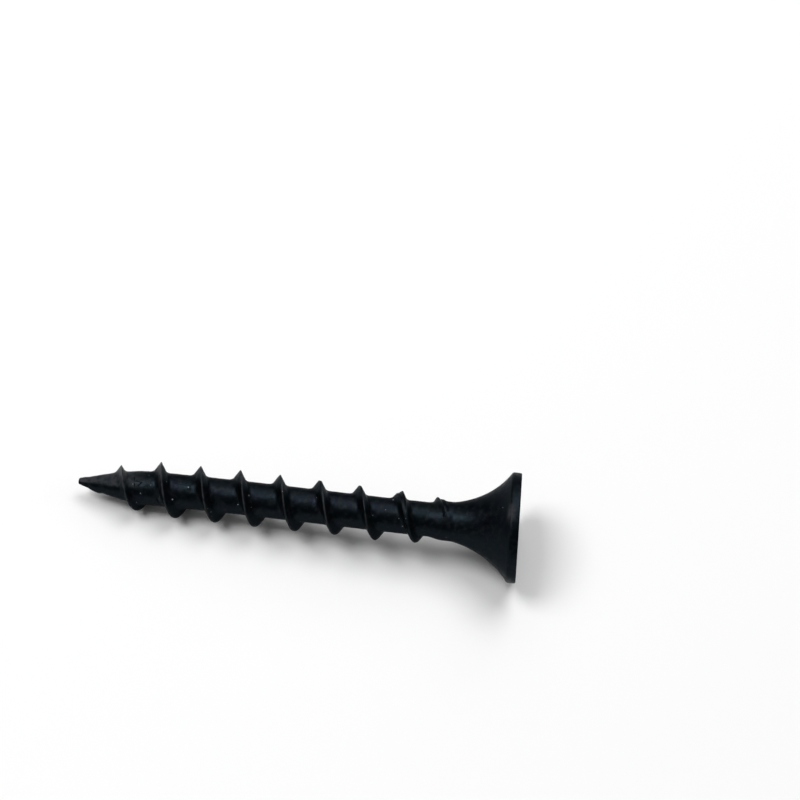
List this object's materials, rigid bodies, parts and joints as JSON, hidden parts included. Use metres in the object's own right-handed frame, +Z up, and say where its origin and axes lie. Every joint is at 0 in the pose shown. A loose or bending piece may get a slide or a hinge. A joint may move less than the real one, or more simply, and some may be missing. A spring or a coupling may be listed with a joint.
{
  "type": "drywall screw",
  "caption": "Black coarse-thread drywall screw with a bugle head, a cross recess in its flat face and a sharp point, lying on its side.",
  "frame": {"origin": "middle of the footprint, on the surface that the screw lies on", "axes": "+X along the screw's length from the tip to the head, +Z up; the axis rises towards the head by about 4.6 degrees"},
  "size_m": [0.032, 0.0078, 0.0078],
  "materials": {
    "black_phosphate": "satin black phosphate coating on steel, slightly blue, with fine pits and lighter wear along the crests"
  },
  "bodies": {
    "root": {"drywall_screw": "black_phosphate"}
  },
  "joints": []
}
